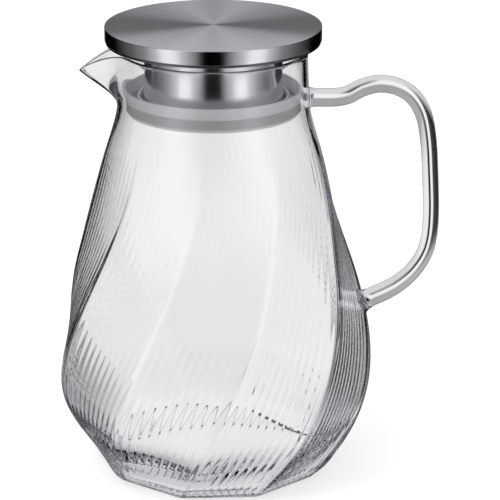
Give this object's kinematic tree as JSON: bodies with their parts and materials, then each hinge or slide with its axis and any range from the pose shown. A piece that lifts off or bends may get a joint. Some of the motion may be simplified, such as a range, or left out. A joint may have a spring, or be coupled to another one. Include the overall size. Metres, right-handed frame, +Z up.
{
  "type": "glass pitcher with lid",
  "caption": "Clear glass pitcher with twisted flat facets, a pouring beak and a rod handle, closed by a lift-off brushed steel lid with a silicone seal.",
  "frame": {"origin": "middle of the flat foot, on the table; the axis of the neck and lid is X = Y = 0", "axes": "+Z up, +X towards the handle, -X towards the pouring beak"},
  "size_m": [0.1929, 0.1597, 0.2318],
  "materials": {
    "glass": "clear, fire-polished",
    "brushed_steel": "spun and brushed round the axis",
    "plain_steel": "plain satin",
    "floor_plastic": "satin moulded",
    "silicone": "translucent satin"
  },
  "bodies": {
    "jug": {"glass_body": "glass", "handle_rod": "glass", "handle_upper_pad": "glass", "handle_lower_pad": "glass"},
    "seal": {"seal_ring": "silicone"},
    "lid": {"lid_cap": "brushed_steel", "lid_underplate": "plain_steel", "plug_sleeve": "brushed_steel", "plug_floor": "floor_plastic", "tie_stud": "plain_steel", "tie_washer": "plain_steel", "tie_nut": "plain_steel"}
  },
  "joints": [
    {"name": "lid_lift", "type": "slide", "parent": "jug", "child": "seal", "axis": [0, 0, 1], "range_m": [0, 0.06]},
    {"name": "lid_turn", "type": "hinge", "parent": "seal", "child": "lid", "pos_m": [0, 0, 0.2], "axis": [0, 0, 1], "continuous": true}
  ]
}
